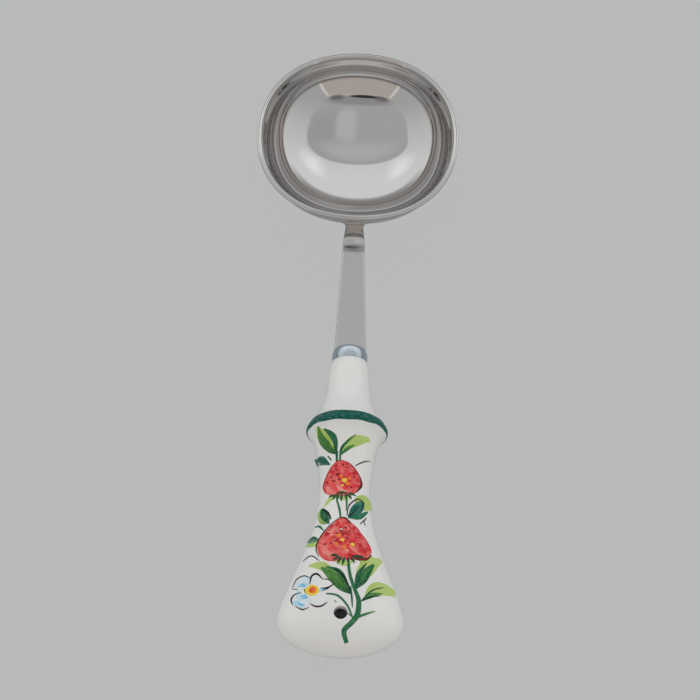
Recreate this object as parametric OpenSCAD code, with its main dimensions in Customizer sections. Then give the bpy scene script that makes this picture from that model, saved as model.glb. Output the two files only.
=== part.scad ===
// Soup ladle: a drawn steel bowl with a flared lip, a flat steel stem with a flared foot, a ferrule
// and a hollow glazed ceramic handle that is cemented onto the stem's tang.
// The ladle is drawn with the bowl's mouth level, then laid on a flat surface: the bowl's
// bottom and the handle's shoulder touch z = 0, which tips the mouth a little.
// +Y runs towards the bowl, +X across it and +Z up.

/* [Bowl] */
// Length of the bowl over its lip, along the ladle
bowl_len = 90.6; // [89:0.2:92]
// Width of the bowl over its lip
bowl_wid = 89.6; // [88:0.2:92]
// Height of the lip above the flat of the bowl
bowl_depth = 27; // [26.6:0.1:27.4]
// Place of the bowl's middle along the ladle
bowl_y = 98.45; // [98.2:0.05:99]
// Width of the flared lip
lip_w = 3; // [2.8:0.1:3.2]
// Rise of the lip from its bend to its edge
lip_rise = 1.6; // [1.4:0.1:1.7]
// Thickness of the bowl's sheet
sheet_t = 1; // [0.8:0.1:1.2]
// Squareness of the outline's far half, where 2 is an ellipse
far_power = 2.15; // [2:0.05:2.3]
// Squareness of the outline's half next to the stem
near_power = 2.25; // [2.1:0.05:2.4]
// Fullness of the bowl's wall, where 2 is an ellipse and less is more conical
wall_power = 2.25; // [2.1:0.05:2.3]

/* [Stem] */
// Width of the stem where it leaves the ferrule
stem_low_w = 13.4; // [12:0.1:13.6]
// Width of the stem below its bend
stem_high_w = 9.6; // [8:0.1:11]
// Thickness of the stem
stem_t = 3; // [2.4:0.1:3.2]
// Width of the flared foot against the bowl
foot_w = 21.4; // [18:0.2:24]
// Width of the tang inside the handle
tang_w = 7; // [5:0.2:7.4]

/* [Handle] */
// Angle at which the handle and stem rise towards the bowl
tilt = 1; // [0.9:0.1:1.1]
// Length of the ceramic handle
handle_len = 132; // [131:0.5:133]
// Width of the rounded end
end_w = 51; // [46:0.5:54]
// Thickness of the rounded end
end_t = 22; // [21:0.5:23]
// Length of the round cap that closes the end
cap_len = 14.5; // [13:0.5:16]
// Width over the painted shoulder
shoulder_w = 34; // [32:0.5:35]
// Width at the waist
waist_w = 21.2; // [20:0.2:23]
// Thickness of the ceramic wall
wall_t = 3; // [2.5:0.1:3.2]
// Radius of the hanging hole
hole_r = 2.75; // [2:0.05:3.5]
// Distance of the hanging hole from the handle's tip
hole_u = 14.6; // [14:0.1:17]

/* [Ferrule] */
// Length of the ferrule
ferrule_len = 6.4; // [5:0.1:7]
// Radius of the ferrule at its crown
ferrule_r = 7.5; // [7.4:0.05:7.8]
// Thickness of the ferrule's wall
ferrule_t = 1; // [0.8:0.1:1.1]

/* [Hidden] */
$fn = 96;

// How the ladle lies: the drawing turns about X and is lifted onto z = 0, and it moves
// along Y so that the origin is at the middle of its length
lie_angle = 1.65;
lie_lift = 3.08;
lie_y = -0.53;

// Numbers of facets
bowl_sides = 72;
wall_steps = 12;
handle_sides = 40;
cap_steps = 6;
body_steps = 40;
core_step = 26;                        // where the cement ends in the neck

// Bowl
bowl_rx = bowl_wid / 2;
bowl_ry = bowl_len / 2;
lip_edge_r = 0.3;                      // rounding of the lip's edge
bend_gap = 0.8;                        // how much higher the lip meets the wall's inner face
flat_cut = 0.3;                        // what the flat takes off the wall's curve
hollow_cut = 0.02;                     // the same for the inside, which is round

// Braze between the stem's foot and the bowl
braze_t = 0.25;
braze_margin = 0.6;                    // how far the braze shows round the foot
braze_low_z = 18.6;

// Handle: places on its axis are distances u from its tip
tip_y = -143.75;
tip_z = norm([cap_len * sin(tilt), end_t / 2 * cos(tilt)]) - cap_len * sin(tilt);
core_gap = 0.1;                        // clearance between the cement and the ferrule
ferrule_end = handle_len + ferrule_len;
tang_tip = 100;
tang_t = 2.4;

// Half-width of the handle by distance from its tip, beyond the round cap. The first
// point only sets the curve's direction where the cap ends.
width_points = [
    [cap_len - 6.5, end_w / 2 - 1.2],
    [cap_len, end_w / 2],
    [21, end_w / 2 - 1.2],
    [30, end_w / 2 - 4.3],
    [43, end_w / 2 - 9],
    [53, waist_w / 2 + 2.6],
    [63, waist_w / 2 + 0.8],
    [73, waist_w / 2],
    [84, waist_w / 2 + 1],
    [91.5, waist_w / 2 + 2.4],
    [96, shoulder_w / 2 - 2.2],
    [99.2, shoulder_w / 2],
    [102, shoulder_w / 2 - 1.1],
    [106.5, 13],
    [112, 10.7],
    [118, 9.4],
    [124, 8.9],
    [129, 8.4],
    [handle_len, 7.6],
];

// Thickness of the handle as a share of its width
depth_points = [
    [cap_len, end_t / end_w],
    [30, 0.52],
    [50, 0.78],
    [73, 0.93],
    [92, 0.97],
    [108, 1],
    [handle_len, 1],
];

// Smooth curve through points [x, value], with cubic pieces
function span(p, x, i = 0) = i < len(p) - 2 && x > p[i + 1][0] ? span(p, x, i + 1) : i;
function grade(p, a, b) = (p[b][1] - p[a][1]) / (p[b][0] - p[a][0]);
function slope(p, i) = grade(p, max(i - 1, 0), min(i + 1, len(p) - 1));
function curve(p, x) =
    let (i = span(p, x), w = p[i + 1][0] - p[i][0])
    let (t = min(max((x - p[i][0]) / w, 0), 1))
    let (a = p[i][1], b = p[i + 1][1], m = slope(p, i) * w, n = slope(p, i + 1) * w)
    a * (2 * t^3 - 3 * t^2 + 1) + m * (t^3 - 2 * t^2 + t) + b * (3 * t^2 - 2 * t^3) + n * (t^3 - t^2);

function reversed(list) = [for (i = [len(list) - 1:-1:0]) list[i]];

// Closed solid through a list of rings, which turn anticlockwise about the way they go
module skin(rings) {
    n = len(rings[0]);
    last = len(rings) - 1;
    sides = [
        for (i = [0:last - 1], j = [0:n - 1])
            let (a = i * n + j, b = i * n + (j + 1) % n)
            each [[a, b + n, b], [a, a + n, b + n]]
    ];
    caps = [[for (j = [0:n - 1]) j], [for (j = [n - 1:-1:0]) last * n + j]];
    polyhedron([for (r = rings, p = r) p], concat(sides, caps));
}

// Turns what is drawn with the mouth level into how the ladle lies
module lying() {
    translate([0, lie_y, lie_lift])
    rotate([-lie_angle, 0, 0])
    children();
}

// ---- Bowl ----

// Outline with half-axes rx and ry, squarer than an ellipse where the power is over 2
function signed_power(v, e) = sign(v) * pow(abs(v), e);
function outline_point(rx, ry, a) =
    let (e = 2 / (sin(a) > 0 ? far_power : near_power))
    [rx * signed_power(cos(a), e), ry * signed_power(sin(a), e)];

// Bowl ring at height z, set in from the lip's edge
function bowl_ring(inset, z) = [
    for (j = [0:bowl_sides - 1])
        let (p = outline_point(bowl_rx - inset, bowl_ry - inset, 360 * j / bowl_sides))
        [p[0], bowl_y + p[1], z]
];

// Points [inset, z] down one face of the wall, from the lip's bend to the flat; off is
// the distance from the outer face, and cut what the flat takes off this face's curve
function wall_face(off, cut) =
    let (top = bowl_depth - lip_rise - sheet_t + bend_gap * off)
    let (drop = top + cut - off, rim = bowl_ry - lip_w - off)
    let (flat = asin(pow((top - off) / drop, wall_power / 2)))
    [
        for (i = [0:wall_steps])
            let (a = flat * i / wall_steps)
            [bowl_ry - rim * pow(cos(a), 2 / wall_power), top - drop * pow(sin(a), 2 / wall_power)]
    ];

// Up the outer face, round the lip's edge, and down the inner face
bowl_profile = concat(
    reversed(wall_face(0, flat_cut)),
    [
        [lip_edge_r, bowl_depth - sheet_t],
        [0, bowl_depth - sheet_t + lip_edge_r],
        [0, bowl_depth - lip_edge_r],
        [lip_edge_r, bowl_depth],
        [0.3 * lip_w, bowl_depth - 0.1 * lip_rise],
        [0.6 * lip_w, bowl_depth - 0.4 * lip_rise],
    ],
    wall_face(sheet_t, hollow_cut)
);

// Filled form of the bowl below its lip, grown outwards
module bowl_form(grow) {
    skin([for (p = reversed(wall_face(0, flat_cut))) bowl_ring(p[0] - grow, p[1])]);
}

module bowl() {
    color("silver")
    lying()
    skin([for (p = bowl_profile) bowl_ring(p[0], p[1])]);
}

// ---- Stem ----

// Point on the handle's axis, and the height of that axis, as [y, z] and z
function axis_point(u) = [tip_y + u * cos(tilt), tip_z + u * sin(tilt)];
function axis_z(y) = tip_z + (y - tip_y) * tan(tilt);

// Stations of the stem above the ferrule: y and z of the bar's middle, its half-width,
// its half-thickness, and how far its back is hollowed to follow the bowl's wall
foot_hollow = 0.9 / 100;
bend_y = 43.6;
stem_path = [
    [axis_point(ferrule_end)[0], axis_point(ferrule_end)[1], stem_low_w / 2, stem_t / 2, 0],
    [18, axis_z(18), (stem_low_w + stem_high_w) / 4, stem_t / 2, 0],
    [bend_y - 1.6, axis_z(bend_y - 1.6), stem_high_w / 2, stem_t / 2, 0],
    [bend_y, axis_z(bend_y) + 0.2, stem_high_w / 2, stem_t / 2, 0],
    [45.2, 15.2, stem_high_w / 2, stem_t / 2, 0],
    [46.8, 16.3, stem_high_w / 2, stem_t / 2, 0],
    [48.4, 16.9, stem_high_w / 2 - 0.2, stem_t / 2, 0],
    [51, 17, stem_high_w / 2 - 0.5, stem_t / 2, 0],
    [53.6, 16.9, stem_high_w / 2 - 0.8, 1.3, 0],
    [55.2, 17.4, stem_high_w / 2 - 0.8, 1.1, 0],
    [55.7, 18.8, stem_high_w / 2 - 0.4, 0.9, 0.5],
    [55.4, 20.4, foot_w / 2 - 4.8, 0.8, 0.8],
    [55.25, 21.8, foot_w / 2 - 2, 0.7, 1],
    [55.2, 22.8, foot_w / 2 - 0.3, 0.6, 1],
    [55.15, 23.5, foot_w / 2, 0.6, 1],
    [55.15, 24.2, foot_w / 2 - 0.2, 0.5, 1],
];
stem_parts = 3;                        // rings in each stretch between stations

// Value k of the stem's station t, which may lie between two stations
function station(t, k) = curve([for (i = [0:len(stem_path) - 1]) [i, stem_path[i][k]]], t);
function climb(t) =
    let (a = max(t - 0.05, 0), b = min(t + 0.05, len(stem_path) - 1))
    atan2(station(b, 1) - station(a, 1), station(b, 0) - station(a, 0));

// Rounded section of a bar, half-width w and half-thickness h, as [x, height]; its flats
// have points between the corners, so that they can be hollowed
function bar_section(w, h) =
    let (r = min(0.6, 0.8 * h))
    [
        for (q = [0:3])
            let (corner = [[1, 1], [-1, 1], [-1, -1], [1, -1]][q])
            each concat(
                [
                    for (k = [0:3])
                        let (a = 90 * q + 30 * k)
                        [corner[0] * (w - r) + r * cos(a), corner[1] * (h - r) + r * sin(a)]
                ],
                q % 2 == 0 ? [for (s = [0.6, 0.2, -0.2, -0.6]) [corner[0] * s * w, corner[1] * h]] : []
            )
    ];

// Ring of a bar that climbs at an angle through the point [y, z]
function bar_ring(y, z, angle, w, h, hollow = 0) = [
    for (s = bar_section(w, h))
        let (out = s[1] - hollow * foot_hollow * s[0]^2)
        [s[0], y - out * sin(angle), z + out * cos(angle)]
];

function tang_ring(u, w, h) = bar_ring(axis_point(u)[0], axis_point(u)[1], tilt, w, h);
function stem_ring(t) =
    bar_ring(station(t, 0), station(t, 1), climb(t), station(t, 2), station(t, 3), station(t, 4));

stem_rings = concat(
    [
        tang_ring(tang_tip, tang_w / 2 - 1.4, tang_t / 2 - 0.5),
        tang_ring(tang_tip + 1.5, tang_w / 2, tang_t / 2),
        tang_ring(ferrule_end, tang_w / 2, tang_t / 2),
        tang_ring(ferrule_end, stem_low_w / 2, stem_t / 2),
    ],
    [for (i = [1:(len(stem_path) - 1) * stem_parts]) stem_ring(i / stem_parts)]
);

module stem_form() {
    skin(reversed(stem_rings));
}

module stem() {
    color("lightsteelblue")
    lying()
    stem_form();
}

// Braze: a thin layer on the bowl's wall behind the foot, with a narrow margin round it
module braze_seam() {
    top_z = bowl_depth - lip_rise - sheet_t - 0.2;
    side_x = foot_w / 2 + braze_margin;
    step_x = foot_w / 2 - 3.5;
    color("gray")
    lying()
    difference() {
        intersection() {
            bowl_form(braze_t);
            translate([0, bowl_y - bowl_ry + lip_w + 4, 0])
            rotate([90, 0, 0])
            linear_extrude(8)
            polygon([
                [-stem_high_w / 2, braze_low_z],
                [stem_high_w / 2, braze_low_z],
                [step_x, braze_low_z + 2],
                [side_x, braze_low_z + 4],
                [side_x, top_z],
                [-side_x, top_z],
                [-side_x, braze_low_z + 4],
                [-step_x, braze_low_z + 2],
            ]);
        }
        bowl_form(0);
    }
}

// ---- Handle, cement and ferrule ----

// Half-width and half-thickness of the handle at u
function half_width(u) = curve(width_points, u);
function half_depth(u) = half_width(u) * curve(depth_points, u);

// Ring square to the handle's axis at u
function handle_ring(u, w, h) = [
    for (j = [0:handle_sides - 1])
        let (a = 360 * j / handle_sides, x = -w * cos(a), up = h * sin(a))
        [x, axis_point(u)[0] - up * sin(tilt), axis_point(u)[1] + up * cos(tilt)]
];
function body_ring(u, off) = handle_ring(u, half_width(u) - off, half_depth(u) - off);

// Rings of the round cap from its tip, and of the body from a step to the open neck;
// off is the distance in from the outer surface
function cap_rings(off) = [
    for (i = [0:cap_steps])
        let (a = max(90 * i / cap_steps, 2), u = cap_len - (cap_len - off) * cos(a))
        handle_ring(u, (end_w / 2 - off) * sin(a), (end_t / 2 - off) * sin(a))
];
function body_rings(from, off) = [
    for (i = [from:body_steps])
        body_ring(cap_len + (handle_len - cap_len) * i / body_steps, off)
];

module handle() {
    color("ivory")
    lying()
    difference() {
        skin(concat(
            cap_rings(0),
            body_rings(1, 0),
            reversed(body_rings(1, wall_t)),
            reversed(cap_rings(wall_t))
        ));
        translate([0, axis_point(hole_u)[0], axis_point(hole_u)[1]])
        rotate([tilt, 0, 0])
        cylinder(r = hole_r, h = 2 * end_t, center = true);
    }
}

// Cement round the tang, in the handle's neck and in the ferrule
module cement_core() {
    neck = ferrule_r - ferrule_t - core_gap;
    color("gainsboro")
    lying()
    difference() {
        skin(concat(
            body_rings(core_step, wall_t),
            [
                handle_ring(handle_len, neck, neck),
                handle_ring(ferrule_end - ferrule_t, neck, neck),
            ]
        ));
        stem_form();
    }
}

module ferrule() {
    crown = ferrule_r;
    rim = ferrule_r - 0.35;
    bore = ferrule_r - ferrule_t;
    color("lightslategray")
    lying()
    difference() {
        translate([0, tip_y, tip_z])
        rotate([tilt - 90, 0, 0])
        rotate_extrude()
        polygon([
            [bore, handle_len],
            [rim, handle_len],
            [crown - 0.1, handle_len + 0.8],
            [crown, handle_len + ferrule_len / 2],
            [crown - 0.1, ferrule_end - 1],
            [rim, ferrule_end - 0.3],
            [rim - 0.5, ferrule_end],
            [0, ferrule_end],
            [0, ferrule_end - ferrule_t],
            [bore, ferrule_end - ferrule_t],
        ]);
        translate([0, tip_y, tip_z])
        rotate([tilt - 90, 0, 0])
        linear_extrude(ferrule_end + 1)
        polygon(bar_section(tang_w / 2, tang_t / 2));
    }
}

bowl();
braze_seam();
stem();
ferrule();
handle();
cement_core();
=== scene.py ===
"""Soup ladle: polished steel bowl and stem, satin ferrule, white glazed handle painted with
strawberries. Shapes are worked out in millimetres, as on the drawing, and built in metres."""
from math import asin, atan2, cos, hypot, pi, radians, sin, sqrt, tan

import bmesh
import bpy
from mathutils import Matrix, Vector


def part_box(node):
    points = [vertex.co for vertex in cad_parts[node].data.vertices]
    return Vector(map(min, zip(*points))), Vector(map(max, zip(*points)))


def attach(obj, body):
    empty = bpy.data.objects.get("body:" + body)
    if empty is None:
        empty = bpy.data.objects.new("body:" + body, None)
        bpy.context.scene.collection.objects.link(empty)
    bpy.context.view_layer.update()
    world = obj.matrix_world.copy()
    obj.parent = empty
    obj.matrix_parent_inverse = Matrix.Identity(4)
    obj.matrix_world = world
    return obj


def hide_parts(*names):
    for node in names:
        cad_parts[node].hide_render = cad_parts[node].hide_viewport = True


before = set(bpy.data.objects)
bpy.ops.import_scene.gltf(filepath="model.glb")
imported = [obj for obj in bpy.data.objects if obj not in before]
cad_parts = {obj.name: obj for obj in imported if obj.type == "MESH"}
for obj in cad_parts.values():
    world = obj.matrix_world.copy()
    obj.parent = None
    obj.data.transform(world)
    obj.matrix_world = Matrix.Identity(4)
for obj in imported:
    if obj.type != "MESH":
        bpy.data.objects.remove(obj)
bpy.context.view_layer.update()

MM = 0.001
TAU = 2 * pi

# The ladle is drawn with the bowl's mouth level, then laid on its bowl and its shoulder
LIE_ANGLE = radians(1.65)
LYING = Matrix.Translation((0, -0.53, 3.08)) @ Matrix.Rotation(-LIE_ANGLE, 4, "X")


def width_of(node):
    """Width of a part across the ladle, in millimetres."""
    low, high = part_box(node)
    return (high.x - low.x) / MM


# ---------------------------------------------------------------- drawing sizes
BOWL_RX = width_of("bowl") / 2
BOWL_RY = 45.3
BOWL_Y = 98.45
RIM_Z = 27.0
LIP_W, LIP_RISE, SHEET, BEND_GAP = 3.0, 1.6, 1.0, 0.8
OUTER_POWER, INNER_POWER = 2.25, 2.02
FLAT_CUT = 0.3
EDGE_R = SHEET / 2
EDGE_FALL, UNDER_FALL = 0.9, 1.4

TILT = radians(1)
HANDLE_LEN, CAP_LEN, END_T = 132.0, 14.5, 22.0
END_W = width_of("handle")
SHOULDER_W, WAIST_W, WALL = 34.0, 21.2, 3.0
HOLE_U, HOLE_R = 14.6, 2.75
TIP_Y = -143.75
TIP_Z = hypot(CAP_LEN * sin(TILT), END_T / 2 * cos(TILT)) - CAP_LEN * sin(TILT)

FERRULE_LEN, FERRULE_R = 6.4, 7.5
FERRULE_END = HANDLE_LEN + FERRULE_LEN
STEM_LOW_W, STEM_HIGH_W, STEM_T, FOOT_W = 13.4, 9.6, 3.0, 21.4

WIDTH_POINTS = [
    (CAP_LEN - 6.5, END_W / 2 - 1.2), (CAP_LEN, END_W / 2), (21, END_W / 2 - 1.2),
    (30, END_W / 2 - 4.3), (43, END_W / 2 - 9), (53, WAIST_W / 2 + 2.6),
    (63, WAIST_W / 2 + 0.8), (73, WAIST_W / 2), (84, WAIST_W / 2 + 1),
    (91.5, WAIST_W / 2 + 2.4), (96, SHOULDER_W / 2 - 2.2), (99.2, SHOULDER_W / 2),
    (102, SHOULDER_W / 2 - 1.1), (106.5, 13), (112, 10.7), (118, 9.4), (124, 8.9),
    (129, 8.4), (HANDLE_LEN, 7.6),
]
DEPTH_POINTS = [
    (CAP_LEN, END_T / END_W), (30, 0.52), (50, 0.78), (73, 0.93), (92, 0.97), (108, 1),
    (HANDLE_LEN, 1),
]


# ---------------------------------------------------------------- curves
def curve(points, x, k=1):
    """Smooth value k at x through points whose first value is their place."""
    i = 0
    while i < len(points) - 2 and x > points[i + 1][0]:
        i += 1
    width = points[i + 1][0] - points[i][0]
    t = min(max((x - points[i][0]) / width, 0), 1)

    def slope(j):
        a, b = points[max(j - 1, 0)], points[min(j + 1, len(points) - 1)]
        return (b[k] - a[k]) / (b[0] - a[0]) * width

    a, b = points[i][k], points[i + 1][k]
    return (a * (2 * t**3 - 3 * t**2 + 1) + slope(i) * (t**3 - 2 * t**2 + t)
            + b * (3 * t**2 - 2 * t**3) + slope(i + 1) * (t**3 - t**2))


def smooth_path(points, steps, closed=False):
    """Points on a smooth line through the given ones, which may have any number of values."""
    n = len(points)
    pick = (lambda i: points[i % n]) if closed else (lambda i: points[min(max(i, 0), n - 1)])
    out = []
    for i in range(n if closed else n - 1):
        for s in range(steps):
            t = s / steps
            p = [pick(i + d) for d in (-1, 0, 1, 2)]
            out.append([
                0.5 * (2 * b + (c - a) * t + (2 * a - 5 * b + 4 * c - d) * t * t
                       + (3 * b - a - 3 * c + d) * t**3)
                for a, b, c, d in zip(*p)])
    if not closed:
        out.append(list(points[-1]))
    return out


def arc(cx, cy, r, start, end, steps):
    """Points on an arc, in degrees."""
    return [(cx + r * cos(radians(start + (end - start) * i / steps)),
             cy + r * sin(radians(start + (end - start) * i / steps)))
            for i in range(steps + 1)]


def fillet(points, radii, steps=8):
    """Line through points whose corners are rounded off."""
    out = [points[0]]
    for i in range(1, len(points) - 1):
        a, p, b = (Vector(points[j]) for j in (i - 1, i, i + 1))
        r = radii[i - 1]
        if r == 0:
            out.append(tuple(p))
            continue
        start = p + (a - p).normalized() * r
        end = p + (b - p).normalized() * r
        for s in range(steps + 1):
            t = s / steps
            out.append(tuple(start * (1 - t) ** 2 + p * 2 * t * (1 - t) + end * t * t))
    return out + [points[-1]]


# ---------------------------------------------------------------- meshes
def mesh_object(name, verts, faces, smooth=True, pose=LYING):
    """Object from the drawing's points in millimetres, laid as the ladle lies."""
    data = bpy.data.meshes.new(name)
    data.from_pydata([pose @ Vector(v) * MM for v in verts], [], faces)
    data.validate()
    data.update()
    if smooth:
        data.shade_smooth()
    obj = bpy.data.objects.new(name, data)
    bpy.context.scene.collection.objects.link(obj)
    return obj


def skin(rings, first_pole=None, last_pole=None):
    """Points and faces of a closed solid through rings; poles close its ends."""
    n = len(rings[0])
    verts = [p for r in rings for p in r]
    faces = []
    for i in range(len(rings) - 1):
        for j in range(n):
            a, b = i * n + j, i * n + (j + 1) % n
            faces.append((a, b, b + n, a + n))
    last = (len(rings) - 1) * n
    if first_pole is None:
        faces.append(tuple(range(n - 1, -1, -1)))
    else:
        verts.append(first_pole)
        faces += [(len(verts) - 1, (j + 1) % n, j) for j in range(n)]
    if last_pole is None:
        faces.append(tuple(last + j for j in range(n)))
    else:
        verts.append(last_pole)
        faces += [(len(verts) - 1, last + j, last + (j + 1) % n) for j in range(n)]
    return verts, faces


def finish_piece(obj, node, material):
    """The piece rides on the ladle, stands for its part and takes its finish."""
    obj.data.materials.clear()
    obj.data.materials.append(material)
    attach(obj, "root")
    if node:
        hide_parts(node)
    return obj


# ---------------------------------------------------------------- shader helpers
def add(tree, kind, inputs=None, **settings):
    """Node with its settings, and its inputs set to values or linked to sockets."""
    node = tree.nodes.new(kind)
    for key, value in settings.items():
        setattr(node, key, value)
    for key, value in (inputs or {}).items():
        if isinstance(value, bpy.types.NodeSocket):
            tree.links.new(value, node.inputs[key])
        else:
            node.inputs[key].default_value = value
    return node


def calc(tree, operation, a, b=0.0, c=0.0):
    return add(tree, "ShaderNodeMath", {0: a, 1: b, 2: c}, operation=operation).outputs[0]


def fade(tree, value, start, end, low=0.0, high=1.0):
    """Smooth step of a value from start to end."""
    keys = {"Value": value, "From Min": start, "From Max": end, "To Min": low, "To Max": high}
    return add(tree, "ShaderNodeMapRange", keys, interpolation_type="SMOOTHSTEP").outputs[0]


def mix_colour(tree, share, a, b, blend="MIX"):
    keys = {0: share, 6: a, 7: b}
    return add(tree, "ShaderNodeMix", keys, data_type="RGBA", blend_type=blend).outputs[2]


def noise(tree, where, scale, detail=3.0, roughness=0.5, output=0):
    keys = {"Vector": where, "Scale": scale, "Detail": detail, "Roughness": roughness}
    return add(tree, "ShaderNodeTexNoise", keys).outputs[output]


def scaled(tree, where, scale):
    keys = {0: where, 1: scale}
    return add(tree, "ShaderNodeVectorMath", keys, operation="MULTIPLY").outputs[0]


def new_group(name, inputs, outputs):
    """Shader node group with named inputs {name: (kind, default)} and outputs {name: kind}."""
    group = bpy.data.node_groups.new(name, "ShaderNodeTree")
    for key, (kind, default) in inputs.items():
        socket = group.interface.new_socket(key, in_out="INPUT", socket_type="NodeSocket" + kind)
        if default is not None:
            socket.default_value = default
    for key, kind in outputs.items():
        group.interface.new_socket(key, in_out="OUTPUT", socket_type="NodeSocket" + kind)
    given = group.nodes.new("NodeGroupInput").outputs
    result = group.nodes.new("NodeGroupOutput").inputs
    return group, given, result


def use_group(tree, group, inputs):
    """A group placed in a material, with its values."""
    return add(tree, "ShaderNodeGroup", inputs, node_tree=group).outputs


def new_material(name, **principled):
    """Material with a Principled BSDF whose uniform values are set on it."""
    material = bpy.data.materials.new(name)
    material.use_nodes = True
    tree = material.node_tree
    bsdf = tree.nodes["Principled BSDF"]
    for key, value in principled.items():
        bsdf.inputs[key.replace("_", " ")].default_value = value
    return material, tree, bsdf.inputs


def object_place(tree):
    """Place on the object, in millimetres."""
    where = add(tree, "ShaderNodeTexCoord").outputs["Object"]
    return scaled(tree, where, (1000, 1000, 1000))


# ---------------------------------------------------------------- effects
def make_polish_marks():
    """Faint cloudy wear, hairlines and waviness that polished metal has."""
    group, given, result = new_group(
        "polish_marks",
        {"Where": ("Vector", None), "Hairline Way": ("Vector", (1, 1, 1)),
         "Base Roughness": ("Float", 0.06), "Cloud": ("Float", 0.02), "Hairlines": ("Float", 0.02),
         "Waves": ("Float", 0.02)},
        {"Roughness": "Float", "Tone": "Float", "Normal": "Vector"})
    cloud = noise(group, given["Where"], 0.06, 4, 0.6)
    along = add(group, "ShaderNodeVectorMath", {0: given["Where"], 1: given["Hairline Way"]},
                operation="MULTIPLY").outputs[0]
    lines = noise(group, along, 1.0, 2, 0.7)
    rough = calc(group, "MULTIPLY_ADD", calc(group, "SUBTRACT", cloud, 0.5), given["Cloud"],
                 given["Base Roughness"])
    rough = calc(group, "MULTIPLY_ADD", calc(group, "SUBTRACT", lines, 0.5), given["Hairlines"],
                 rough)
    group.links.new(calc(group, "MAXIMUM", rough, 0.01), result["Roughness"])
    group.links.new(calc(group, "MULTIPLY_ADD", calc(group, "SUBTRACT", cloud, 0.5), 0.06, 1.0),
                    result["Tone"])
    waves = noise(group, given["Where"], 0.09, 1, 0.4)
    bump = add(group, "ShaderNodeBump",
               {"Strength": given["Waves"], "Distance": 0.001, "Height": waves})
    group.links.new(bump.outputs[0], result["Normal"])
    return group


def make_glaze_surface():
    """Colour and gentle swell of hand-dipped glaze, with pooling and a few pin specks."""
    group, given, result = new_group(
        "glaze_surface",
        {"Where": ("Vector", None), "Glaze": ("Color", None), "Pooled": ("Color", None),
         "Pooling": ("Float", 0.3), "Swell": ("Float", 0.15)},
        {"Colour": "Color", "Roughness": "Float", "Normal": "Vector"})
    broad = noise(group, given["Where"], 0.05, 2, 0.5)
    share = calc(group, "MULTIPLY", fade(group, broad, 0.35, 0.75), given["Pooling"])
    colour = mix_colour(group, share, given["Glaze"], given["Pooled"])
    specks = add(group, "ShaderNodeTexVoronoi", {"Vector": given["Where"], "Scale": 0.11},
                 feature="F1").outputs["Distance"]
    speck = fade(group, specks, 0.012, 0.02, 0.12, 0.0)
    group.links.new(mix_colour(group, speck, colour, (0.25, 0.22, 0.18, 1)), result["Colour"])
    group.links.new(calc(group, "MULTIPLY_ADD", noise(group, given["Where"], 0.3, 3), 0.06, 0.2),
                    result["Roughness"])
    bump = add(group, "ShaderNodeBump",
               {"Strength": given["Swell"], "Distance": 0.002,
                "Height": noise(group, given["Where"], 0.04, 1, 0.3)})
    group.links.new(bump.outputs[0], result["Normal"])
    return group


def make_brush_marks():
    """Glaze colour laid with a soft brush: hair streaks, darker rims, cloudy second colour."""
    group, given, result = new_group(
        "brush_marks",
        {"Where": ("Vector", None), "Brush": ("Vector", None), "Pigment": ("Color", None),
         "Second": ("Color", None), "Glaze": ("Color", None), "Cover": ("Float", 0.9),
         "Streaks": ("Float", 0.3), "Rim": ("Float", 0.3), "Clouds": ("Float", 0.3)},
        {"Colour": "Color", "Height": "Float"})
    parts = add(group, "ShaderNodeSeparateXYZ", {0: given["Brush"]}).outputs
    rim = fade(group, calc(group, "ABSOLUTE", parts[1]), 0.7, 1.0)
    hairs = noise(group, scaled(group, given["Brush"], (0.5, 4.0, 7.0)), 1.0, 3, 0.6)
    thin = fade(group, hairs, 0.5, 0.72)
    broad = noise(group, given["Where"], 0.5, 4, 0.6)
    cloud = calc(group, "MULTIPLY", fade(group, broad, 0.44, 0.62), given["Clouds"])
    colour = mix_colour(group, cloud, given["Pigment"], given["Second"])
    shade = calc(group, "MULTIPLY", rim, given["Rim"])
    darker = mix_colour(group, 1.0, colour, (0.45, 0.45, 0.45, 1), "MULTIPLY")
    colour = mix_colour(group, shade, colour, darker)
    cover = calc(group, "MULTIPLY_ADD", thin, calc(group, "MULTIPLY", given["Streaks"], -0.8),
                 given["Cover"])
    cover = add(group, "ShaderNodeClamp", {0: cover, 1: 0.0, 2: 1.0}).outputs[0]
    group.links.new(mix_colour(group, cover, given["Glaze"], colour), result["Colour"])
    group.links.new(cover, result["Height"])
    return group


POLISH = make_polish_marks()
GLAZE = make_glaze_surface()
BRUSH = make_brush_marks()

# ---------------------------------------------------------------- finishes
GLAZE_WHITE = (0.90, 0.90, 0.875, 1)
GLAZE_POOLED = (0.86, 0.865, 0.85, 1)


def polished_steel(name, way, roughness=0.05, cloud=0.03, hairlines=0.03, waves=0.03,
                   tint=(0.66, 0.65, 0.64, 1)):
    """Mirror-polished stainless steel; way scales the hairlines' pattern."""
    material, tree, bsdf = new_material(name, Metallic=1.0)
    marks = use_group(tree, POLISH, {
        "Where": object_place(tree), "Hairline Way": way, "Base Roughness": roughness,
        "Cloud": cloud, "Hairlines": hairlines, "Waves": waves})
    tree.links.new(marks["Roughness"], bsdf["Roughness"])
    tree.links.new(marks["Normal"], bsdf["Normal"])
    tree.links.new(mix_colour(tree, 1.0, tint, marks["Tone"], "MULTIPLY"), bsdf["Base Color"])
    return material


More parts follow.
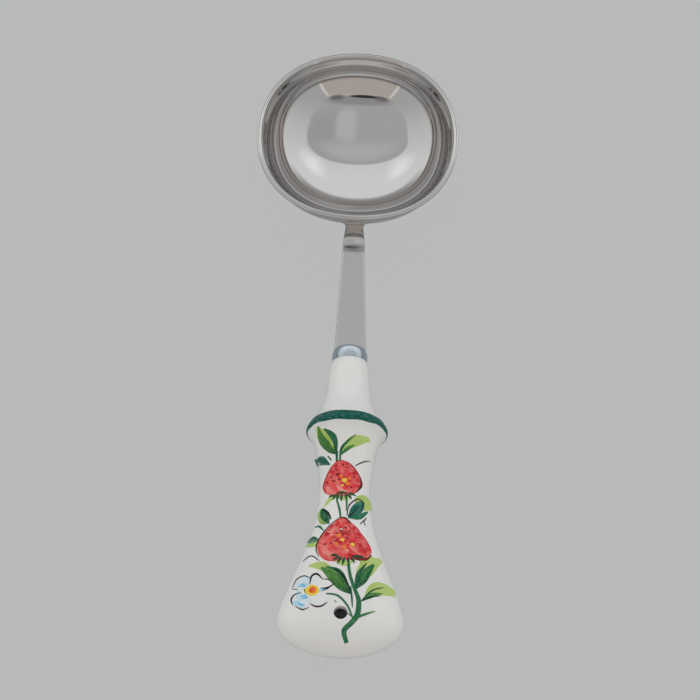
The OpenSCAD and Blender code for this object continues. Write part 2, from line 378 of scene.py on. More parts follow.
def white_glaze():
    """Cream-white earthenware glaze."""
    material, tree, bsdf = new_material(
        "white_glaze", Coat_Weight=0.35, Coat_Roughness=0.12, Specular_IOR_Level=0.4)
    marks = use_group(tree, GLAZE, {
        "Where": object_place(tree), "Glaze": GLAZE_WHITE, "Pooled": GLAZE_POOLED,
        "Pooling": 0.5, "Swell": 0.12})
    tree.links.new(marks["Colour"], bsdf["Base Color"])
    tree.links.new(marks["Roughness"], bsdf["Roughness"])
    tree.links.new(marks["Normal"], bsdf["Normal"])
    return material


def painted(name, cover, streaks, rim, clouds=0.0, second=GLAZE_WHITE):
    """Glaze colour laid on with a brush; each mark carries its own pigment."""
    material, tree, bsdf = new_material(
        name, Roughness=0.3, Coat_Weight=0.08, Coat_Roughness=0.15, Specular_IOR_Level=0.12)
    pigment = add(tree, "ShaderNodeAttribute", attribute_name="pigment").outputs["Color"]
    brush = add(tree, "ShaderNodeAttribute", attribute_name="brush").outputs["Vector"]
    marks = use_group(tree, BRUSH, {
        "Where": object_place(tree), "Brush": brush, "Pigment": pigment, "Glaze": GLAZE_WHITE,
        "Second": second, "Cover": cover, "Streaks": streaks, "Rim": rim, "Clouds": clouds})
    tree.links.new(marks["Colour"], bsdf["Base Color"])
    bump = add(tree, "ShaderNodeBump",
               {"Strength": 0.1, "Distance": 0.0002, "Height": marks["Height"]})
    tree.links.new(bump.outputs[0], bsdf["Normal"])
    return material


def satin_ferrule():
    """Satin light metal, turned on a lathe, so its lines run round it."""
    material, tree, bsdf = new_material("satin_ferrule", Metallic=1.0)
    marks = use_group(tree, POLISH, {
        "Where": object_place(tree), "Hairline Way": (0.1, 6.0, 0.1), "Base Roughness": 0.28,
        "Cloud": 0.08, "Hairlines": 0.2, "Waves": 0.03})
    tree.links.new(marks["Roughness"], bsdf["Roughness"])
    tree.links.new(marks["Normal"], bsdf["Normal"])
    tree.links.new(mix_colour(tree, 1.0, (0.62, 0.70, 0.78, 1), marks["Tone"], "MULTIPLY"),
                   bsdf["Base Color"])
    return material


def grainy(name, colour, dark, roughness, metallic=0.0):
    """Matt stuff with a fine grain: cement, or the braze's frozen skin."""
    material, tree, bsdf = new_material(name, Roughness=roughness, Metallic=metallic)
    where = object_place(tree)
    grain = noise(tree, where, 1.4, 5, 0.7)
    tree.links.new(mix_colour(tree, fade(tree, grain, 0.35, 0.65), dark, colour),
                   bsdf["Base Color"])
    bump = add(tree, "ShaderNodeBump", {"Strength": 0.3, "Distance": 0.0003, "Height": grain})
    tree.links.new(bump.outputs[0], bsdf["Normal"])
    return material


# ---------------------------------------------------------------- bowl
BOWL_SIDES = 288
OUTLINE_SQUARENESS, OUTLINE_LEAN = 0.032, 0.007


def bowl_ring(inset, z, form=1.0):
    """Ring of the bowl; form is how far the outline keeps its squareness."""
    rx, ry = BOWL_RX - inset, BOWL_RY - inset
    ring = []
    for j in range(BOWL_SIDES):
        a = TAU * j / BOWL_SIDES
        r = 1 / hypot(cos(a) / rx, sin(a) / ry)
        r *= 1 + form * (OUTLINE_SQUARENESS - OUTLINE_LEAN * sin(a)) * sin(2 * a) ** 2
        ring.append((r * cos(a), BOWL_Y + r * sin(a), z))
    return ring


def wall_face(off, cut, power, steps=56):
    """Insets and heights down one face of the wall, off in from the outer face."""
    top = RIM_Z - LIP_RISE - SHEET + BEND_GAP * off
    drop, rim = top + cut - off, BOWL_RY - LIP_W - off
    end = asin(min(1, ((top - off) / drop) ** (power / 2)))
    end = min(end, radians(88.5))
    return [(BOWL_RY - rim * cos(end * i / steps) ** (2 / power),
             top - drop * sin(end * i / steps) ** (2 / power)) for i in range(steps + 1)]


def make_bowl():
    outer = wall_face(0, FLAT_CUT, OUTER_POWER)
    inner = wall_face(SHEET, 0.0, INNER_POWER)
    # The lip is a rounded bead: it falls to the sheet's edge and rolls over into the wall
    lip_corner = (LIP_W, RIM_Z - LIP_RISE - SHEET)
    under = fillet([outer[3], lip_corner, (EDGE_R, RIM_Z - UNDER_FALL)], [1.2])
    round_edge = arc(EDGE_R, RIM_Z - EDGE_FALL, EDGE_R, 250, 130, 12)
    # Inset from the lip's outside, and how far the bead has fallen from its crown there
    bead = [(0.6, 0.42), (1.0, 0.13), (1.5, 0.0), (2.0, 0.2), (2.45, 0.68), (2.8, 1.3),
            (3.05, 2.0)]
    crown = [(inset, RIM_Z - fall) for inset, fall in bead]
    top = smooth_path([round_edge[-1], *crown, inner[4], inner[7]], 6)
    profile = outer[:3:-1] + under[:-1] + round_edge[:-1] + top + inner[8:]
    rings = []
    for inset, z in profile:
        reach = (BOWL_RY - inset) / (BOWL_RY - LIP_W)
        rings.append(bowl_ring(inset, z, min(1.0, reach**2)))
    verts, faces = skin(rings, (0, BOWL_Y, 0.0), (0, BOWL_Y, SHEET))
    return mesh_object("bowl_skin", verts, faces)


# ---------------------------------------------------------------- stem
def axis_point(u):
    """y and z of the handle's axis at a distance u from its tip."""
    return TIP_Y + u * cos(TILT), TIP_Z + u * sin(TILT)


def axis_z(y):
    return TIP_Z + (y - TIP_Y) * tan(TILT)


FOOT_HOLLOW = 0.9 / 100
BEND_Y = 43.6
# y, z, half-width, half-thickness, and how far the back follows the bowl
STEM_PATH = [
    (*axis_point(FERRULE_END), STEM_LOW_W / 2, STEM_T / 2, 0),
    (18, axis_z(18), (STEM_LOW_W + STEM_HIGH_W) / 4, STEM_T / 2, 0),
    (BEND_Y - 1.6, axis_z(BEND_Y - 1.6), STEM_HIGH_W / 2, STEM_T / 2, 0),
    (BEND_Y, axis_z(BEND_Y) + 0.2, STEM_HIGH_W / 2, STEM_T / 2, 0),
    (45.2, 15.2, STEM_HIGH_W / 2, STEM_T / 2, 0),
    (46.8, 16.3, STEM_HIGH_W / 2, STEM_T / 2, 0),
    (48.4, 16.9, STEM_HIGH_W / 2 - 0.2, STEM_T / 2, 0),
    (51, 17, STEM_HIGH_W / 2 - 0.5, STEM_T / 2, 0),
    (53.6, 16.9, STEM_HIGH_W / 2 - 0.8, 1.3, 0),
    (55.2, 17.4, STEM_HIGH_W / 2 - 0.8, 1.1, 0),
    (55.7, 18.8, STEM_HIGH_W / 2 - 0.4, 0.9, 0.5),
    (55.4, 20.4, FOOT_W / 2 - 4.8, 0.8, 0.8),
    (55.25, 21.8, FOOT_W / 2 - 2, 0.7, 1),
    (55.2, 22.8, FOOT_W / 2 - 0.3, 0.6, 1),
    (55.15, 23.5, FOOT_W / 2, 0.6, 1),
    (55.15, 24.2, FOOT_W / 2 - 0.2, 0.5, 1),
]


def bar_section(w, h):
    """Rounded bar section, half-width w and half-thickness h, with lines close to the
    rounded edges so that the flats stay flat."""
    r = min(0.6, 0.8 * h)
    points = []
    for q, (sx, sy) in enumerate([(1, 1), (-1, 1), (-1, -1), (1, -1)]):
        corner = [(sx * (w - r) + r * cos(radians(90 * q + 15 * k)),
                   sy * (h - r) + r * sin(radians(90 * q + 15 * k))) for k in range(7)]
        points += corner
        x, y = corner[-1]
        if q in (0, 2):
            points += [(x * s, y) for s in (0.92, 0.7, 0.4, 0.0, -0.4, -0.7, -0.92)]
        else:
            points += [(x, y * s) for s in (0.5, -0.5)]
    return points


def bar_ring(y, z, angle, w, h, hollow=0.0, crown=0.0):
    ring = []
    for x, out in bar_section(w, h):
        out -= hollow * FOOT_HOLLOW * x * x + crown * max(out, 0) * (x / w) ** 2
        ring.append((x, y - out * sin(angle), z + out * cos(angle)))
    return ring


def make_stem():
    stations = [(i, *p) for i, p in enumerate(STEM_PATH)]
    last = len(STEM_PATH) - 1
    parts = 8
    rings = []
    tang_u = FERRULE_END - 2
    rings.append(bar_ring(*axis_point(tang_u), TILT, STEM_LOW_W / 2 - 0.1, STEM_T / 2))
    for i in range(last * parts + 1):
        t = i / parts
        a, b = max(t - 0.05, 0), min(t + 0.05, last)
        rise = curve(stations, b, 2) - curve(stations, a, 2)
        run = curve(stations, b, 1) - curve(stations, a, 1)
        crown = 0.3 * min(max((t - 2) / 4, 0), 1)
        rings.append(bar_ring(*[curve(stations, t, k) for k in (1, 2)], atan2(rise, run),
                              *[curve(stations, t, k) for k in (3, 4, 5)], crown))
    verts, faces = skin(rings[::-1])
    return mesh_object("stem_bar", verts, faces)


# ---------------------------------------------------------------- handle
HANDLE_SIDES = 160


def half_size(u):
    """Half-width and half-thickness of the handle at u."""
    if u < CAP_LEN:
        share = sqrt(max(0.0, 1 - ((CAP_LEN - u) / CAP_LEN) ** 2))
        return END_W / 2 * share, END_T / 2 * share
    w = curve(WIDTH_POINTS, u)
    return w, w * curve(DEPTH_POINTS, u)


def handle_point(u, x, up):
    y, z = axis_point(u)
    return (x, y - up * sin(TILT), z + up * cos(TILT))


def handle_ring(u, w, h, n=HANDLE_SIDES):
    return [handle_point(u, -w * cos(TAU * j / n), h * sin(TAU * j / n)) for j in range(n)]


def shell_rings(off, cap_steps=28, body_steps=170):
    rings = []
    for i in range(1, cap_steps + 1):
        a = pi / 2 * i / cap_steps
        rings.append(handle_ring(CAP_LEN - (CAP_LEN - off) * cos(a),
                                 (END_W / 2 - off) * sin(a), (END_T / 2 - off) * sin(a)))
    for i in range(1, body_steps + 1):
        u = CAP_LEN + (HANDLE_LEN - CAP_LEN) * i / body_steps
        w, h = half_size(u)
        rings.append(handle_ring(u, w - off, h - off))
    return rings


def make_handle():
    """Hollow shell, open at its neck, with the hanging hole cut through both walls."""
    outer, inner = shell_rings(0), shell_rings(WALL, 12, 60)
    verts, faces = skin(outer + inner[::-1], handle_point(0, 0, 0), handle_point(WALL, 0, 0))
    handle = mesh_object("handle_shell", verts, faces)
    rings = []
    for up, r in ((-END_T, HOLE_R), (END_T, HOLE_R)):
        rings.append([handle_point(HOLE_U + r * sin(TAU * j / 64), r * cos(TAU * j / 64), up)
                      for j in range(64)])
    cutter = mesh_object("hole_cutter", *skin(rings), smooth=False)
    cut = handle.modifiers.new("hole", "BOOLEAN")
    cut.object, cut.operation, cut.solver = cutter, "DIFFERENCE", "EXACT"
    bpy.context.view_layer.update()
    depsgraph = bpy.context.evaluated_depsgraph_get()
    done = bpy.data.meshes.new_from_object(handle.evaluated_get(depsgraph))
    handle.modifiers.clear()
    handle.data = done
    bpy.data.objects.remove(cutter)
    done.shade_smooth()
    done.set_sharp_from_angle(angle=radians(50))
    return handle


def make_ferrule():
    """Barrel-shaped cap with rolled ends."""
    crown, rim = FERRULE_R, FERRULE_R - 0.45
    profile = [(crown - 2.2, HANDLE_LEN), (rim - 0.3, HANDLE_LEN + 0.02), (rim, HANDLE_LEN + 0.3)]
    profile += [(rim + (crown - rim) * sin(pi * t) ** 0.7, HANDLE_LEN + 0.3 + 5.2 * t)
                for t in [i / 20 for i in range(1, 20)]]
    profile += [(rim, FERRULE_END - 0.9), (rim - 0.2, FERRULE_END - 0.4),
                (rim - 0.8, FERRULE_END - 0.1), (rim - 1.6, FERRULE_END)]
    rings = [handle_ring(u, r, r, 96) for r, u in profile]
    verts, faces = skin(rings, handle_point(HANDLE_LEN, 0, 0), handle_point(FERRULE_END, 0, 0))
    return mesh_object("ferrule_cap", verts, faces)


# ---------------------------------------------------------------- painting
def front(x, u, lift):
    """Point on the handle's front, x across and u from the tip, lifted off the glaze."""
    w, h = half_size(u)
    up = h * sqrt(max(0.0, 1 - (x / w) ** 2))
    w2, h2 = half_size(u + 0.1)
    w1, h1 = half_size(u - 0.1)
    lean = -(x * x / w**3) * (w2 - w1) / 0.2 - (up * up / h**3) * (h2 - h1) / 0.2
    normal = Vector((x / w**2, lean, up / h**2)).normalized()
    px, pu, pup = x + normal.x * lift, u + normal.y * lift, up + normal.z * lift
    return handle_point(pu, px, pup)


class Painting:
    """Marks of one finish: thin closed films on the glaze, each with its own pigment."""

    def __init__(self, name, lift, thick=0.05):
        self.name, self.lift, self.thick = name, lift, thick
        self.verts, self.faces, self.pigment, self.brush = [], [], [], []
        self.count = 0

    def film(self, grid, colours, brushes, closed=False):
        """Closed film over a grid of (x, u), rows along and columns across the stroke."""
        rows, cols = len(grid), len(grid[0])
        base = len(self.verts)
        size = rows * cols
        for lift in (self.lift, self.lift - self.thick):
            for i in range(rows):
                for j in range(cols):
                    self.verts.append(front(*grid[i][j], lift))
                    self.pigment.append(colours[i][j])
                    self.brush.append(brushes[i][j])
        span = rows if closed else rows - 1
        for i in range(span):
            for j in range(cols - 1):
                a, b = i * cols + j, (i + 1) % rows * cols + j
                self.faces.append(tuple(base + k for k in (a, b, b + 1, a + 1)))
                self.faces.append(tuple(base + size + k for k in (a, a + 1, b + 1, b)))
        border = [(i, 0) for i in range(rows)] + [(rows - 1, j) for j in range(1, cols)]
        border += [(i, cols - 1) for i in range(rows - 2, -1, -1)]
        border += [(0, j) for j in range(cols - 2, 0, -1)]
        ids = [i * cols + j for i, j in border]
        for a, b in zip(ids, ids[1:] + ids[:1]):
            self.faces.append(tuple(base + k for k in (b, a, size + a, size + b)))
        self.count += 1

    def stroke(self, points, widths, start, end=None, steps=8):
        """Brush stroke through points (x, u), with widths along it and two pigments."""
        end = end or start
        n = len(points)
        along = list(enumerate(widths))
        wide = [curve(along, i * (len(widths) - 1) / (n - 1)) for i in range(n)]
        line = smooth_path([(*p, w) for p, w in zip(points, wide)], steps)
        cols = 7
        grid, colours, brushes = [], [], []
        length = 0.0
        for i, (x, u, w) in enumerate(line):
            a, b = line[max(i - 1, 0)], line[min(i + 1, len(line) - 1)]
            dx, du = b[0] - a[0], b[1] - a[1]
            size = hypot(dx, du) or 1
            if i:
                length += hypot(x - a[0], u - a[1])
            t = i / (len(line) - 1)
            half = max(w, 0.04) / 2
            row = [(x - du / size * half * s, u + dx / size * half * s)
                   for s in [-1 + 2 * k / (cols - 1) for k in range(cols)]]
            grid.append(row)
            colours.append([tuple(c * (1 - t) + d * t for c, d in zip(start, end))] * cols)
            brushes.append([(length, -1 + 2 * k / (cols - 1), self.count * 0.37)
                            for k in range(cols)])
        self.film(grid, colours, brushes)

    def wash(self, outline, start, end, steps=6, rings=9):
        """Filled shape; the pigment runs from start at its left edge to end at its right."""
        edge = smooth_path(outline, steps, closed=True)
        cx = sum(p[0] for p in edge) / len(edge)
        cu = sum(p[1] for p in edge) / len(edge)
        low, high = min(p[0] for p in edge), max(p[0] for p in edge)
        grid, colours, brushes = [], [], []
        for x, u in edge:
            row, tone, brush = [], [], []
            for k in range(rings):
                s = 0.02 + 0.98 * k / (rings - 1)
                px, pu = cx + (x - cx) * s, cu + (u - cu) * s
                t = (px - low) / (high - low)
                row.append((px, pu))
                tone.append(tuple(c * (1 - t) + d * t for c, d in zip(start, end)))
                brush.append((px * 0.6, s if s > 0.7 else 0.0, pu * 0.2))
            grid.append(row)
            colours.append(tone)
            brushes.append(brush)
        self.ring_film(grid, colours, brushes)

    def ring_film(self, grid, colours, brushes):
        """Closed film over a grid that runs round, with a small cap at its middle."""
        rows, cols = len(grid), len(grid[0])
        base, size = len(self.verts), rows * cols
        for lift in (self.lift, self.lift - self.thick):
            for i in range(rows):
                for j in range(cols):
                    self.verts.append(front(*grid[i][j], lift))
                    self.pigment.append(colours[i][j])
                    self.brush.append(brushes[i][j])
        for i in range(rows):
            near, far = i * cols, (i + 1) % rows * cols
            for j in range(cols - 1):
                self.faces.append(tuple(base + k for k in (near + j, near + j + 1, far + j + 1, far + j)))
                self.faces.append(tuple(base + size + k
                                        for k in (near + j, far + j, far + j + 1, near + j + 1)))
            outer, next_outer = near + cols - 1, far + cols - 1
            self.faces.append(tuple(base + k
                                    for k in (outer, outer + size, next_outer + size, next_outer)))
        self.faces.append(tuple(base + i * cols for i in range(rows)))
        self.faces.append(tuple(base + size + i * cols for i in range(rows - 1, -1, -1)))
        self.count += 1

    def build(self, material):
        obj = mesh_object(self.name, self.verts, self.faces)
        data = obj.data
        tone = data.attributes.new("pigment", "FLOAT_COLOR", "POINT")
        tone.data.foreach_set("color", [c for p in self.pigment for c in (*p, 1.0)])
        brush = data.attributes.new("brush", "FLOAT_VECTOR", "POINT")
        brush.data.foreach_set("vector", [c for p in self.brush for c in p])
        recalc(obj)
        return finish_piece(obj, None, material)


def recalc(obj):
    """Turns every film's faces outwards."""
    work = bmesh.new()
    work.from_mesh(obj.data)
    bmesh.ops.recalc_face_normals(work, faces=work.faces)
    work.to_mesh(obj.data)
    work.free()
    obj.data.set_sharp_from_angle(angle=radians(40))


# Pigments, as linear colours
INK = (0.004, 0.006, 0.006)
DEEP_GREEN = (0.005, 0.075, 0.032)
LEAF_GREEN = (0.014, 0.165, 0.055)
MOSS = (0.10, 0.30, 0.03)
LIME = (0.36, 0.55, 0.05)
PALE_LIME = (0.50, 0.68, 0.14)
TEAL = (0.002, 0.105, 0.082)
TEAL_LIGHT = (0.012, 0.19, 0.13)
CRIMSON = (0.50, 0.008, 0.020)
RED = (0.78, 0.028, 0.040)
CORAL = (0.90, 0.10, 0.09)
PINK = (0.95, 0.36, 0.32)
ORANGE = (0.95, 0.26, 0.03)
YELLOW = (0.95, 0.68, 0.06)
SKY = (0.30, 0.70, 0.92)
PALE_SKY = (0.74, 0.86, 0.92)
BLUE = (0.02, 0.46, 0.82)
WHITE = (0.92, 0.92, 0.90)


def paint_berry(layers, outline, tones, patches, lights, seeds):
    """Strawberry: a wash, dabs of deeper and lighter red, light spots and seeds."""
    berry, patch, ink, light = layers
    berry.wash(outline, *tones)
    for points, width, start, end in patches:
        patch.stroke(points, [width * 0.4, width, width * 0.9, width * 0.3], start, end)
    for (x, u), r, tone in lights:
        light.wash([(x - r, u), (x - r * 0.2, u + r * 0.8), (x + r, u + r * 0.5),
                    (x + r * 0.5, u - r * 0.9)], tone, tone, 4, 4)
    for (x, u), length, lean in seeds:
        ink.stroke([(x - length * 0.5, u + lean), (x, u), (x + length * 0.5, u - lean)],
                   [0.2, 0.5, 0.25], INK)


def make_paintings():
    wash = Painting("leaf_washes", 0.05)
    dark = Painting("leaf_strokes", 0.075)
    berry = Painting("berry_washes", 0.06)
    patch = Painting("berry_patches", 0.085)
    light = Painting("light_spots", 0.11)
    petal = Painting("petal_washes", 0.06)
    blue = Painting("petal_blues", 0.085)
    ink = Painting("ink_lines", 0.13)

    # Top sprig: two leaves, a small side leaf and their stems
    wash.stroke([(-12.6, 97.2), (-10.2, 93.5), (-6.2, 90)], [0.6, 3.4, 1.0], PALE_LIME, LIME)
    dark.stroke([(-12, 97), (-10, 91.6), (-6.4, 86.8), (-4.2, 84.4)], [0.5, 2.6, 3.0, 0.6],
                MOSS, DEEP_GREEN)
    dark.stroke([(-9.6, 95.6), (-5.4, 91.4), (-3.9, 85)], [0.4, 2.4, 0.5], LEAF_GREEN, DEEP_GREEN)
    light.stroke([(-8.8, 93.4), (-6.8, 90), (-5.2, 86.6)], [0.3, 0.7, 0.3], LIME)
    wash.stroke([(-2.4, 84.6), (2.4, 89.4), (9.4, 92.2)], [0.6, 4.6, 1.6], LIME, PALE_LIME)
    dark.stroke([(-2.5, 84), (-1.4, 87.6), (3.6, 92.6)], [0.8, 1.2, 0.3], DEEP_GREEN, LEAF_GREEN)
    dark.stroke([(-2.4, 83.8), (0.4, 86.4), (3.4, 88.4)], [0.6, 1.5, 0.3], LEAF_GREEN, MOSS)
    wash.stroke([(-12.8, 86.6), (-10, 83.4), (-6.6, 80.2)], [0.6, 3.0, 0.6], TEAL_LIGHT, TEAL)
    dark.stroke([(-12, 86), (-9.6, 83.2), (-6.8, 80.4)], [0.4, 1.6, 0.5], TEAL)
    ink.stroke([(-7.5, 84.2), (-6.0, 82)], [0.4, 0.5], DEEP_GREEN)
    dark.stroke([(-3.9, 85.5), (-3.8, 81)], [1.1, 0.8], DEEP_GREEN)
    dark.stroke([(-2.4, 85.5), (-2.5, 81)], [0.9, 0.7], LEAF_GREEN)

    # Upper strawberry
    paint_berry(
        (berry, patch, ink, light),
        [(-2.9, 81.6), (-6.2, 78.5), (-8.6, 72.5), (-7.6, 68), (-4.5, 65.8), (-0.5, 65.6), (3, 66.4),
         (6.2, 70.5), (5.6, 75), (3, 78.8), (0, 81)],
        (CORAL, RED),
        [([(-3.6, 79.8), (-5.4, 77), (-5.6, 74)], 1.6, CRIMSON, RED),
         ([(-1, 80.4), (1.8, 78.6), (3.8, 75.6)], 1.8, RED, CRIMSON),
         ([(0.4, 76), (2.2, 74.4), (4.4, 71)], 2.0, RED, CORAL),
         ([(-4, 75.4), (-1.6, 74.6), (0, 76.8)], 1.5, CRIMSON, RED),
         ([(-7.2, 71), (-6, 68.2), (-3.4, 66.8)], 2.0, PINK, CORAL),
         ([(-3.4, 70.6), (-1.6, 68.6), (1, 67.4)], 1.6, PINK, PINK),
         ([(-1.6, 71.6), (0.6, 70.6), (1.8, 69)], 1.4, CRIMSON, RED)],
        [((-0.4, 72.8), 1.1, YELLOW), ((0.9, 71.4), 0.9, ORANGE), ((-1.8, 74.6), 0.8, ORANGE),
         ((1.7, 73.8), 0.7, ORANGE), ((-1.2, 70.6), 0.6, YELLOW)],
        [((-1.1, 79.5), 0.9, 0.1), ((-3.8, 77.6), 1.0, 0.2), ((-3.2, 75.6), 1.7, -0.2),
         ((-4.6, 72.8), 1.4, 0.3), ((-2.6, 73.2), 1.0, 0.1), ((-7.3, 72.8), 0.9, 0.3),
         ((3.4, 74.6), 0.9, -0.2), ((2.6, 69.8), 0.8, 0.1), ((-5.8, 74.6), 0.8, 0.2)])
    ink.stroke([(0.2, 81), (3.1, 78.9), (6.0, 74.9), (6.5, 71.5), (4.6, 68)],
               [0.2, 0.35, 0.5, 0.9, 0.3], CRIMSON, INK)
    ink.stroke([(-2.9, 81.7), (-6.3, 78.5), (-8.8, 72), (-7.6, 67.6)], [0.2, 0.3, 0.45, 0.2], CRIMSON)
    ink.stroke([(3.8, 79.5), (7, 82), (10.1, 84)], [0.3, 0.45, 0.15], INK)
    for x, u, tx, tu in ((-4.0, 66.3, -6.6, 65.6), (-3.4, 66.4, -4.9, 64.2), (-2.5, 66.6, -3.2, 63.3),
                         (-1.2, 66.8, -1.4, 63.2), (0.2, 66.6, 0.8, 63.8), (1.2, 66.6, 2.8, 64.4),
                         (1.6, 67.2, 4.6, 66.2)):
        dark.stroke([(x, u), ((x + tx) / 2, (u + tu) / 2 + 0.3), (tx, tu)], [0.7, 1.2, 0.15], DEEP_GREEN)
    ink.stroke([(-3.6, 66.8), (-1.4, 67.4), (1.2, 67)], [0.4, 1.0, 0.4], DEEP_GREEN)
    wash.stroke([(-3, 65.2), (-5.6, 64.9), (-8.4, 61.6)], [0.8, 2.0, 0.3], LIME, PALE_LIME)
    wash.stroke([(-2.6, 64.9), (0, 64.6), (2.6, 65.4)], [0.6, 1.6, 0.5], LIME, PALE_LIME)
    dark.stroke([(-3.2, 64), (-2.0, 60), (-1.4, 56)], [0.7, 0.9, 0.7], LEAF_GREEN)
    dark.stroke([(0.6, 65.6), (0.9, 62.6), (0.7, 59)], [0.6, 0.8, 0.3], LEAF_GREEN, MOSS)

    # Leaves between the berries
    wash.wash([(4.2, 63.5), (5.2, 66.6), (8.4, 67.8), (11, 66.4), (10.8, 62.6), (7.6, 60.6)],
              LIME, PALE_LIME)
    dark.stroke([(1.8, 56.4), (4.4, 59.4), (6.4, 62.6), (7.2, 64.6)], [0.8, 4.2, 3.6, 0.8],
                TEAL, TEAL_LIGHT)
    dark.stroke([(1.6, 56), (6, 57), (9.6, 60.8)], [0.5, 2.3, 0.5], LEAF_GREEN, TEAL_LIGHT)
    ink.stroke([(1.2, 56.8), (1.8, 61.4), (5.2, 65), (7.8, 64), (6.6, 61)],
               [0.35, 0.5, 0.5, 0.4, 0.2], INK)
    ink.stroke([(1.7, 56.2), (4.0, 59), (5.8, 62)], [0.3, 0.45, 0.25], INK)
    ink.stroke([(6.6, 53.9), (8, 55.8), (9.1, 57.6)], [0.35, 0.45, 0.25], INK)
    ink.stroke([(8.6, 53.8), (8, 55.8)], [0.3, 0.3], INK)
    wash.wash([(-10.8, 59), (-9.2, 61.4), (-6.8, 59.4), (-5.6, 55.6), (-7.2, 53.4), (-9.6, 54.4)],
              LIME, LEAF_GREEN)
    dark.stroke([(-9.3, 61), (-8, 57.4), (-6, 53.4)], [0.8, 2.8, 0.8], LEAF_GREEN, DEEP_GREEN)
    ink.stroke([(-8.9, 61.2), (-6.6, 58.6), (-5.2, 55.4)], [0.5, 0.9, 0.4], INK)
    dark.stroke([(-11.6, 53.6), (-9.8, 53), (-8, 50.4)], [0.5, 0.9, 0.4], TEAL_LIGHT, LEAF_GREEN)
    wash.stroke([(-14.9, 45.8), (-12.6, 45), (-10, 44)], [0.6, 2.6, 1.0], LIME, PALE_LIME)
    wash.stroke([(-14.6, 47.6), (-12.4, 47.2), (-10.2, 46.4)], [0.6, 3.2, 1.2], TEAL_LIGHT, LEAF_GREEN)
    dark.stroke([(-14.2, 48.2), (-12.2, 48.4), (-10.4, 47)], [0.4, 1.2, 0.4], TEAL)

    # Lower strawberry
    paint_berry(
        (berry, patch, ink, light),
        [(-0.9, 55.8), (-3.6, 54), (-8.4, 48.8), (-10.4, 43.6), (-8.8, 38.6), (-5, 36.3), (1, 37),
         (7, 37.4), (10.4, 39), (11.5, 42.6), (9.4, 47), (5, 51.8), (2, 54.8)],
        (CORAL, RED),
        [([(-1.4, 54.6), (-4.6, 51.4), (-7.6, 47)], 2.4, RED, CRIMSON),
         ([(1.2, 54.4), (4.8, 50.6), (8.2, 46)], 2.6, CRIMSON, RED),
         ([(-1.8, 51.6), (0.2, 49.2), (2.6, 48)], 2.0, CRIMSON, CRIMSON),
         ([(-4.2, 47.2), (-1, 44.6), (2.2, 46.6)], 2.2, CRIMSON, RED),
         ([(3.4, 46), (6.6, 43.4), (9.8, 41)], 2.4, RED, CRIMSON),
         ([(-9, 44.4), (-7.2, 41), (-4, 38.4)], 2.6, CORAL, PINK),
         ([(-6.6, 50), (-4.8, 49.4), (-3.4, 51.8)], 1.2, PINK, PINK),
         ([(-4.6, 42.8), (-2.2, 40.8), (1.2, 40)], 2.0, RED, CORAL),
         ([(-6.6, 40.6), (-4.4, 39.6), (-2.4, 38.6)], 1.3, PINK, CORAL),
         ([(2.6, 43), (4.8, 41.4), (7.4, 39.4)], 1.4, PINK, CORAL)],
        [((-1.8, 47.6), 1.0, ORANGE), ((-0.4, 45.6), 0.9, YELLOW), ((3.8, 43.8), 0.9, YELLOW),
         ((-2.8, 43.9), 0.8, ORANGE), ((0.5, 42.6), 0.9, ORANGE), ((1.6, 41), 0.8, PINK),
         ((-4.8, 47.8), 0.6, PINK), ((-1.0, 50.4), 0.5, WHITE)],
        [((-0.9, 49.9), 1.1, 0.3), ((0.8, 51.2), 1.0, 0.2), ((1.5, 46.8), 1.3, 0.2),
         ((-0.4, 47.9), 1.0, 0.3), ((-3.0, 45.0), 1.3, 0.1), ((-7.2, 43.9), 1.1, -0.2),
         ((-2.6, 48.6), 1.0, -0.2), ((-4.8, 44.2), 0.9, 0.3), ((2.4, 49.4), 1.0, 0.3),
         ((5.2, 47.2), 0.8, -0.1), ((2.8, 44.8), 0.8, 0.1)])
    ink.stroke([(-1.4, 56), (-5.6, 52.6), (-9.8, 46.6), (-10.7, 42), (-9.4, 38.6)],
               [0.25, 0.35, 0.5, 0.4, 0.2], INK)
    ink.stroke([(-1.4, 56), (0.8, 55.6), (2.9, 53.4)], [0.3, 0.6, 0.25], INK)
    ink.stroke([(1.9, 39.6), (5.6, 38.4), (9.3, 38), (11.6, 40.6)], [0.4, 1.1, 0.8, 0.3], CRIMSON, INK)
    for x, u, tx, tu in ((-1.9, 38.8, -5.0, 38.6), (-1.2, 38.4, -3.8, 36.4), (-0.4, 38.2, -2.0, 35.2),
                         (0.8, 38, 0, 34.6), (2, 38, 2.6, 34.9), (3, 38.2, 5, 35.9), (3.8, 38.6, 7.4, 37),
                         (4.4, 39, 9.4, 38.4)):
        ink.stroke([(x, u), ((x + tx) / 2, (u + tu) / 2 + 0.3), (tx, tu)], [0.5, 1.1, 0.15], DEEP_GREEN)
    wash.stroke([(-3.4, 36.8), (0.6, 35.6), (5, 36.6)], [0.5, 2.4, 0.5], LIME, PALE_LIME)
    ink.stroke([(-15.8, 38.1), (-12.7, 39.6), (-9.3, 36.9)], [0.25, 0.45, 0.3], INK)

